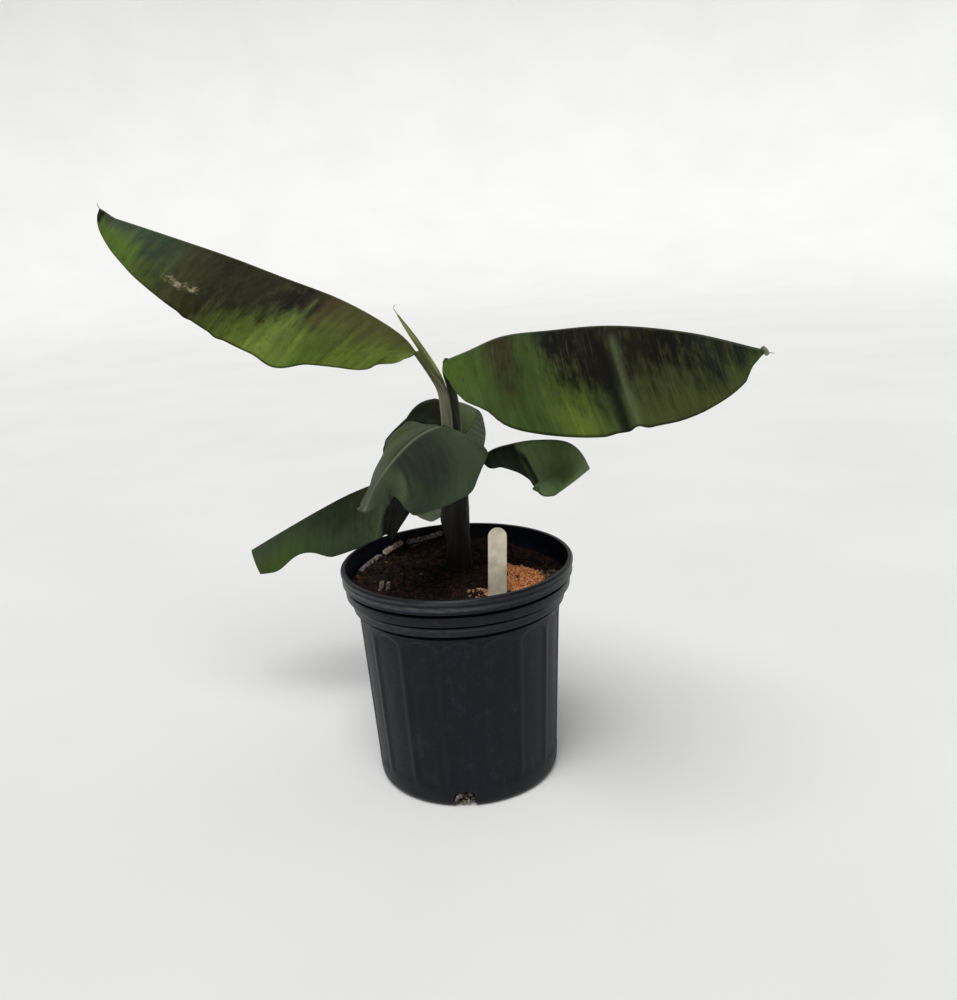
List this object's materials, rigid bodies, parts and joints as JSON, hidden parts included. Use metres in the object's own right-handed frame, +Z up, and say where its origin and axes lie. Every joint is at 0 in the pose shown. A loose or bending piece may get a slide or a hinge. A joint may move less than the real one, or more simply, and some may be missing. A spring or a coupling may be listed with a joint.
{
  "type": "potted banana plant",
  "caption": "Young banana plant in a round black nursery pot: a short pseudostem, broad drooping leaves on channelled stalks, a rolled new leaf and a plain plant label.",
  "frame": {"origin": "centre of the pot's flat underside, where it stands on the floor", "axes": "+Z up; -Y towards the front, the side with the plant label; the two long upper leaves reach towards -X and towards +X, -Y"},
  "size_m": [0.4169, 0.3208, 0.418],
  "materials": {
    "pot": "worn satin black",
    "potting_mix": "rough, crumbly",
    "label": "satin",
    "stem": "satin, fibrous",
    "leaf_stalk": "satin",
    "young_leaf": "satin",
    "leaf_blade": "satin, veined"
  },
  "bodies": {
    "root": {"pot": "pot", "soil": "potting_mix", "label": "label", "pseudostem": "stem", "stalk_left_high": "leaf_stalk", "stalk_right_high": "leaf_stalk", "stalk_front": "leaf_stalk", "stalk_back": "leaf_stalk", "stalk_right_low": "leaf_stalk", "stalk_left_low": "leaf_stalk", "spear_leaf": "young_leaf", "blade_left_high": "leaf_blade", "blade_right_high": "leaf_blade", "blade_front": "leaf_blade", "blade_back": "leaf_blade", "blade_right_low": "leaf_blade", "blade_left_low": "leaf_blade"}
  },
  "joints": []
}
